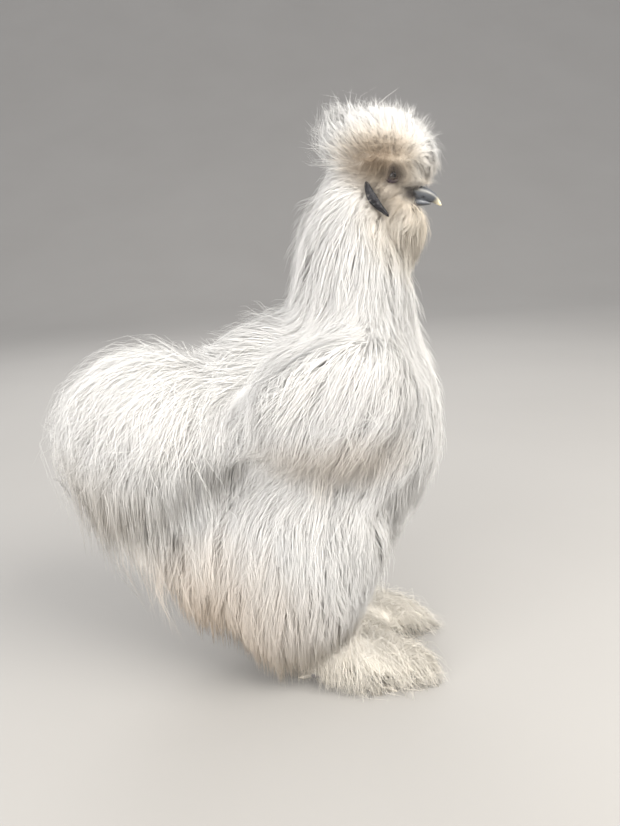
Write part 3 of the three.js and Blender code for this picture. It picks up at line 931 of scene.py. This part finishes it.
grow_coat("coat_back", 11, ["trunk", "saddle"], 11800, "loose_plumage")
grow_coat("coat_breast", 31, ["breast"], 6400, "body_plumage", stray=7, loose=0.05)
grow_coat("coat_neck", 12, ["neck", "nape", "temple"], 16000, "body_plumage",
          gather=0.3, stray=4.5, bow=1.2, loose=0.05)
for part, seed, keep in (("upper", 13, lambda at: at[:, 2] > TAIL_SPLIT),
                         ("lower", 14, lambda at: at[:, 2] <= TAIL_SPLIT)):
    grow_coat(f"coat_tail_{part}", seed, ["tail"], 20000, "loose_plumage",
              stray=13, bow=1.2, loose=0.12, keep=keep)
grow_coat("tail_wisps", 36, ["tail"], 3600, "loose_plumage", lock=14, gather=0.9, stray=24, bow=3,
          longer=1.35, sag=0.14, lift=1.45, keep=lambda at: (at[:, 0] < -0.05) & (at[:, 2] < 0.2))
for where, side in SIDES.items():
    mine = lambda at: at[:, 1] * side > 0
    grow_coat(f"coat_wing_{where}", 16 + side, ["wing", "fringe", "shoulder"], 12000, "loose_plumage",
              stray=12, hang=0.3, keep=mine)
    grow_coat(f"wing_wisps_{where}", 34 + side, ["fringe"], 420, "loose_plumage", lock=12, gather=0.95,
              stray=6, bow=2, longer=2.0, sag=0.15, lift=1.5, keep=lambda at: mine(at) & (at[:, 0] < 0.055))
    grow_coat(f"coat_thigh_{where}", 19 + side, ["thigh"], 15000, "loose_plumage",
              gather=0.28, stray=8, loose=0.12, keep=mine)
    grow_coat(f"coat_foot_{where}", 22 + side, ["foot", "ankle", "heel"], 9400, "feathered_foot",
              lock=20, gather=0.95, stray=25, bow=2, loose=0.2, sag=0.2, keep=mine)
grow_coat("coat_abdomen", 24, ["abdomen"], 6500, "loose_plumage", gather=0.28)
grow_coat("coat_crest", 25, ["crest", "crest_front", "forelock", "crest_back", "brow"], 13900,
          "loose_plumage", lock=60, arch=0.15, stray=9, bow=0.5, sag=0.08, keep=off_the_eye)
grow_coat("crest_plumes", 28, ["crest_back"], 1000, "loose_plumage", lock=16, gather=0.95, arch=0.1,
          stray=13, bow=0.5, longer=1.6, sag=0.0, lift=1.15)
grow_coat("brow_down", 29, ["brow", "temple", "crest"], 6000, "loose_plumage", lock=8, gather=0.3,
          stray=40, longer=0.6, sag=0.15, lift=0.9, keep=on_the_brow)
grow_coat("coat_beard", 26, ["beard", "cheek"], 6300, "loose_plumage", lock=40)
grow_coat("coat_face", 27, ["face", "lores"], 4400, "body_plumage",
          lock=20, bow=0.3, sag=0.02, keep=off_the_eye)

# %% [markdown]
# ## The face
# What a silkie shows of its face is small: a dark eye in a ring of lids, a slate bill with a
# pale hooked tip, and the dark crescent of the lobe. A face this small could be painted on, but
# it is what the look goes to first, so each part is a piece with its own form.

# %% Eyes
EYE_RADIUS, EYE_LOOK = 4.6, (0.22, 0.95, 0.06)
CORNEA, CORNEA_ANGLE = 0.07, 0.6
LID_WIDE, LID_NARROWER, LID_OUT = 4.35, 0.55, 2.5


def eye_axes(where):
    """Centre of the eye, the way it looks, and two axes across that."""
    (centre, look) = on_side(SIDES[where], [EYE_AT, EYE_LOOK])
    look = unit(np.array(look))
    level = unit(np.cross((0, 0, 1.0), look))
    return placed(centre), look, level, np.cross(look, level)


def eyeball(where):
    """Sphere by angle off the axis, with a cornea that stands 7% proud near it."""
    centre, look, level, up = eye_axes(where)
    off, turn = np.pi * np.arange(33) / 32, around(40)[:, None]
    radius = EYE_RADIUS * MM * (1 + CORNEA * np.exp(-((off / CORNEA_ANGLE) ** 2)))
    ring = np.cos(turn) * level + np.sin(turn) * up
    points = centre + radius[:, None, None] * (
        np.cos(off)[:, None, None] * look + np.sin(off)[:, None, None] * ring[None])
    mesh = mesh_of(f"eyeball_{where}", *closed_grid(points))
    give(mesh, "off_axis", 0, np.minimum(np.repeat(off[1:-1] / (np.pi / 2), 40), 1), 1)
    return mesh


def torus_faces(rings, sides):
    """Triangles of a grid that closes on itself both ways."""
    r, k = np.meshgrid(np.arange(rings), np.arange(sides), indexing="ij")
    a, b = r * sides + k, r * sides + (k + 1) % sides
    c, d = (r + 1) % rings * sides + (k + 1) % sides, (r + 1) % rings * sides + k
    return np.concatenate([np.stack([a, d, c], -1).reshape(-1, 3), np.stack([a, c, b], -1).reshape(-1, 3)])


def lids(where):
    """A ring of lid, 4.35 mm from the axis at its corners and 3.8 mm above and below, thicker
    above, with fine folds round it."""
    centre, look, level, up = eye_axes(where)
    turn, about = around(72)[:, None], around(16)[None, :, None]
    thick = MM * (1.0 + 0.25 * np.maximum(np.sin(turn), 0)) * (1 + 0.06 * np.sin(18 * turn))
    wide = MM * (LID_WIDE - LID_NARROWER * np.abs(np.sin(turn)) ** 1.5)
    ring = np.cos(turn) * level + np.sin(turn) * up
    middle = centre + wide * ring + MM * LID_OUT * look
    fold = 1 + 0.12 * np.cos(3 * about)
    points = middle[:, None] + thick[:, None] * fold * (
        np.cos(about) * ring[:, None] + np.sin(about) * look)
    vertices = points.reshape(-1, 3)
    return vertices, outward(vertices, torus_faces(72, 16))


for where in SIDES:
    show(f"eyeball_{where}", eyeball(where), eye_wet, "eye", f"eye_{where}")
    show(f"lids_{where}", mesh_of(f"lids_{where}", *lids(where)), mulberry, "bare_skin")
print("eyes and lids made")

# %% [markdown]
# ## Bill
# The bill is two horn sheaths. The upper one has a ridge along its top, a level cutting edge, a
# nostril on each side near its root and a tip that hooks over the lower. It is carried along a
# curved path like a body, and its section is pinched above and flattened below. The nostril is
# a pit pressed into the grid, so it casts its own shadow.

# %% Upper and lower bill
UPPER = [(66, 0, 329, 8.4, 7), (77, 0, 328, 6.3, 5.3), (85, 0, 324.8, 3.9, 3.1), (90, 0, 319.5, 1.4, 1.3)]
LOWER = [(64, 0, 321.6, 4.4, 4.9), (76, 0, 321.6, 3.3, 3.9), (83.5, 0, 320.8, 1.6, 2.0)]
NOSTRIL = (0.40, 0.95)  # share of the length, and angle down from the ridge
PIT, PIT_DEPTH, RIM, RIM_HEIGHT = (0.035, 0.16), 1.5, (0.075, 0.34), 0.28
EDGE_TURN, EDGE_WIDE, EDGE_PALE = 1.85, 0.3, 0.12
PALE_FROM, PALE_OVER, LOWER_PALE, LOWER_FROM = 0.70, 0.22, 0.1, 0.85


def sheath(stations, full, rows, sides, above, below, pinch):
    """Section: up = cos a * reach * (above or below), side = sin a * reach * (1 - pinch * cos^2 a)."""
    t, a = eased(rows), around(sides)
    centre, _, deep, across, reach = sections((stations, full, 0), t)
    high = np.cos(a) * np.where(np.cos(a) > 0, above, below)
    wide = np.sin(a) * (1 - pinch * np.maximum(np.cos(a), 0) ** 2)
    points = centre[:, None] + deep[:, None] * (high[None, :, None] * reach[:, None, :1])
    return points + across[:, None] * (wide[None, :, None] * reach[:, None, 1:]), t[:, None], a[None]


def round_nostril(size):
    """exp(-(distance along / size)^2 - (angle / size)^2) about each nostril."""
    return np.exp(-(((t - NOSTRIL[0]) / size[0]) ** 2) - ((turn - NOSTRIL[1]) / size[1]) ** 2)


upper, t, a = sheath(UPPER, 0.5, 72, 64, 1.0, 0.62, 0.30)
turn = np.abs(np.angle(np.exp(1j * a)))
pit = round_nostril(PIT)
upper = raised(upper, RIM_HEIGHT * round_nostril(RIM) - PIT_DEPTH * pit)
edge = np.exp(-((turn - EDGE_TURN) / EDGE_WIDE) ** 2) * EDGE_PALE
pale = np.clip((t - PALE_FROM) / PALE_OVER, 0, 1) ** 1.3 + edge
upper_mesh = mesh_of("upper_bill", *closed_grid(upper))
give(upper_mesh, "worn", 0, (np.clip(pale, 0, 1) * (1 - pit))[1:-1], 1)
show("upper_bill", upper_mesh, bill_horn, "beak_horn", "beak_upper")

lower, t, a = sheath(LOWER, 0.6, 40, 40, 0.55, 1.0, 0.0)
lower_mesh = mesh_of("lower_bill", *closed_grid(lower))
pale = LOWER_PALE * np.clip((t[1:-1] - LOWER_FROM) / (1 - LOWER_FROM), 0, 1)
give(lower_mesh, "worn", 0, np.repeat(pale, 40), 1)
show("lower_bill", lower_mesh, bill_horn, "beak_horn", "beak_lower")
print("bill:", len(upper_mesh.polygons) + len(lower_mesh.polygons), "triangles")

# %% [markdown]
# ## Comb, lobes and wattles
# The comb is a small walnut-shaped cushion, all but hidden by the crest. Behind and below the
# eye the lobe shows as a dark crescent, and two short wattles hang at the corners of the bill.
# Their folds are pressed into the grid as waves, and the finer pebbles come from the material.

# %% Soft bare parts
LOBE = [(41, 19.0, 335, 2.4, 2.2), (44.5, 20.8, 325, 2.7, 2.3), (54, 22.3, 314, 1.7, 1.9)]
WATTLE = [(70, 6.5, 322, 3.4, 2.6), (71, 8.5, 316, 4.6, 2.8), (71, 8.5, 308, 3.4, 2.4)]
COMB = [(62, 0, 341, 5, 6), (70, 0, 340, 6, 7.5), (78, 0, 336, 4, 5.5)]


def wrinkled(stations, rows, sides, depth, round_waves, long_waves):
    """Body grid raised by depth * cos(round_waves * a + 4t) * |sin(long_waves * pi t)| * sin(pi t)."""
    t, a = np.arange(rows + 1)[:, None] / rows, around(sides)[None]
    wave = np.cos(round_waves * a + 4 * t) * np.abs(np.sin(long_waves * np.pi * t)) * np.sin(np.pi * t)
    return closed_grid(raised(body_grid((stations, 1.0, 0), rows, sides), depth * wave))


def show_soft(name, node, shape, material):
    """Shows a wrinkled part in place of its node: shape is what wrinkled takes."""
    show(name, mesh_of(name, *wrinkled(*shape)), material, "bare_skin", node)


for where, side in SIDES.items():
    show_soft(f"lobe_{where}", f"earlobe_{where}", (on_side(side, LOBE), 56, 40, 0.35, 5, 3), lobe_skin)
    show_soft(f"wattle_flap_{where}", f"wattle_{where}", (on_side(side, WATTLE), 40, 32, 0.25, 4, 3),
              mulberry)
show_soft("walnut_comb", "comb", (COMB, 56, 64, 0.6, 7, 4), mulberry)
print("lobes, wattles and comb made")

# %% [markdown]
# ## Toes and claws
# A toe is a tapering tube with a row of broad scutes over its top. The scutes are pressed into
# the grid as steps: each rises slowly and drops quickly, as a plate that overlaps the next. The
# underside is flat where it meets the floor. Claws are slender horns that bend down.

# %% Toes
def limb(start, end, start_radius, end_radius):
    """Stations from one point to another with the radius changing evenly."""
    start, end = np.asarray(start, float), np.asarray(end, float)
    return [(*(start + f * (end - start)), *(2 * [start_radius + f * (end_radius - start_radius)]))
            for f in (0, 0.5, 1)]


def scaly(stations, full, rows, sides, plates, depth):
    """Body grid raised by depth * (plates * t mod 1)^2 on the upper half, and nothing under 0."""
    t, top = eased(rows)[:, None], np.maximum(np.cos(around(sides)), 0) ** 0.5
    step = (plates * t % 1) ** 2 * top * np.sin(np.pi * t) ** 0.3
    grid = raised(body_grid((stations, full, 0), rows, sides), depth * step)
    grid[..., 2] = np.maximum(grid[..., 2], 0)
    return closed_grid(grid)


TOE_HEIGHT, TOE_ROOT, TOE_TIP = TOE_RADIUS - TOE_SINK, TOE_RADIUS + 0.4, TOE_RADIUS - 0.6
SCUTE_LENGTH, SCUTE_DEPTH = 3, 0.45
CLAW_BEND, CLAW_DROP, CLAW_INSIDE = 1.3, 1.9, 0.2
CLAW_WIDTHS = [(1.9, 1.8), (1.7, 1.6), (0.8, 0.8)]
for where, side in SIDES.items():
    parts = []
    for n, (angle, reach, lift) in enumerate(TOES):
        way = np.radians(angle)
        base, tip, point = (
            np.array(at_foot(where, length * np.cos(way), length * np.sin(way), TOE_HEIGHT + rise))
            for length, rise in ((0, 0), (reach, lift), (reach + CLAW_LENGTH, lift)))
        toe = limb(base, tip, TOE_ROOT, TOE_TIP)
        parts.append(scaly(toe, 0.35, 120, 20, round(reach / SCUTE_LENGTH), SCUTE_DEPTH))
        root, bend = tip - CLAW_INSIDE * (point - tip), (tip + point) / 2
        bend[2], point[2] = tip[2] - CLAW_BEND, tip[2] - CLAW_DROP
        stations = [(*place, *widths) for place, widths in zip((root, bend, point), CLAW_WIDTHS)]
        claw = body_grid((stations, 0.6, 0), 28, 18)
        claw[..., 2] = np.maximum(claw[..., 2], 0)
        mesh = mesh_of(f"nail_{where}_{n + 1}", *closed_grid(claw))
        give(mesh, "worn", 0, np.repeat(np.linspace(0, 1, 27), 18), 1)
        show(f"nail_{where}_{n + 1}", mesh, claw_horn, "claw_horn", f"claw_{where}_{n + 1}")
    hock = (HOCK[0], STANCE_HALF * side, HOCK[1])
    shank = limb(at_foot(where, 0, 0, SHANK_FOOT), hock, SHANK_RADIUS, SHANK_RADIUS)
    parts.append(scaly(shank, 0.35, 80, 24, 12, 0.5))
    show(f"toes_{where}", mesh_of(f"toes_{where}", *joined(parts)), toe_skin, "feathered_foot")
print("toes and nails made")

# %% [markdown]
# ## Floor, light and camera
# The bird stands on a plain pale floor that curves up behind it. One large soft lamp stands
# ahead of the bird and one behind it, both on the camera's side, and a weak one on the far side
# lights its rim. One lamp alone would be like sunlight, but the folds of the plumage would go
# black. The camera has the photograph's view: 15 degrees down, rolled by 3 degrees, 44 cm away.

# %% Stage
CURVE_FROM, CURVE_OVER, CURVE_HEIGHT = 2.0, 2.4, 1.2  # metres
FLOOR_ROWS, FLOOR_COLUMNS = 97, 25


def pale_paper():
    """Matte paper with a breath of unevenness."""
    material, tree, principled, place = new_material("pale_paper")
    uneven = noise(tree, place, 2.5, 3)
    fill(tree, principled, {
        "Base Color": mix_colour(tree, uneven, (0.27, 0.26, 0.245), (0.30, 0.29, 0.275)),
        "Roughness": 0.85})
    return material


run = np.linspace(-4, 8, FLOOR_ROWS)
bend = np.clip((run - CURVE_FROM) / CURVE_OVER, 0, 1) * np.pi / 2
straight = np.maximum(run - CURVE_FROM - CURVE_OVER, 0)
rise = np.where(run > CURVE_FROM, CURVE_HEIGHT * (1 - np.cos(bend)) + straight, 0)
width = np.linspace(-6, 6, FLOOR_COLUMNS)
cloth = np.stack(np.broadcast_arrays(width[None, :], run[:, None], rise[:, None]), -1).reshape(-1, 3)
r, k = np.meshgrid(np.arange(FLOOR_ROWS - 1), np.arange(FLOOR_COLUMNS - 1), indexing="ij")
first = r * FLOOR_COLUMNS + k
steps = ((0, 1, FLOOR_COLUMNS + 1), (0, FLOOR_COLUMNS + 1, FLOOR_COLUMNS))
cells = np.concatenate([np.stack([first + s for s in three], -1).reshape(-1, 3) for three in steps])
floor = bpy.data.objects.new("floor", mesh_of("floor", cloth, cells))
floor.data.materials.append(pale_paper())
bpy.context.scene.collection.objects.link(floor)


# %% Lights
def lamp(name, at, aim, size, power, shade):
    """A square area lamp at a point, turned to face another."""
    light = bpy.data.lights.new(name, "AREA")
    light.shape, light.size, light.energy, light.color = "SQUARE", size, power, shade
    thing = bpy.data.objects.new(name, light)
    thing.location = at
    thing.rotation_euler = (Vector(aim) - Vector(at)).to_track_quat("-Z", "Y").to_euler()
    bpy.context.scene.collection.objects.link(thing)


lamp("key", (1.1, -0.8, 1.15), (0.05, 0, 0.2), 1.1, 54, (1.0, 0.97, 0.92))
lamp("fill", (-0.9, -1.3, 0.6), (0, 0, 0.2), 1.6, 50, (1.0, 0.985, 0.96))
lamp("rim", (-0.3, 1.3, 1.3), (0, 0, 0.25), 1.0, 14, (1.0, 1.0, 1.0))
world = bpy.data.worlds.new("studio")
world.use_nodes = True
fill(world.node_tree, world.node_tree.nodes["Background"], {"Color": (0.96, 0.96, 0.985, 1), "Strength": 1.0})
bpy.context.scene.world = world
bpy.context.scene.view_settings.view_transform = "Standard"

# %% Camera
PITCH, ROLL = np.radians(15.0), np.radians(3.2)
CAMERA_AT = (AHEAD * MM, -0.441, 0.307)
SENSOR, FOCAL_SHARE = 36, 670 / 826  # millimetres, and focal length as a share of the frame's height
forward = np.array([0, np.cos(PITCH), -np.sin(PITCH)])
upright = np.array([0, np.sin(PITCH), np.cos(PITCH)])
level = np.array([1.0, 0, 0])
camera_x = np.cos(ROLL) * level - np.sin(ROLL) * upright
camera_y = np.sin(ROLL) * level + np.cos(ROLL) * upright
camera_data = bpy.data.cameras.new("camera")
camera_data.lens, camera_data.sensor_width = FOCAL_SHARE * SENSOR, SENSOR
camera_data.clip_start = 0.01
camera = bpy.data.objects.new("camera", camera_data)
camera.matrix_world = Matrix([*np.stack([camera_x, camera_y, -forward, CAMERA_AT], 1).tolist(), (0, 0, 0, 1)])
bpy.context.scene.collection.objects.link(camera)
bpy.context.scene.camera = camera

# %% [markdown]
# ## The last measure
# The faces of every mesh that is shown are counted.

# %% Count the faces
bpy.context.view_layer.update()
shown = [thing for thing in bpy.context.scene.objects if thing.type == "MESH" and not thing.hide_render]
print("faces in all:", sum(len(thing.data.polygons) for thing in shown))
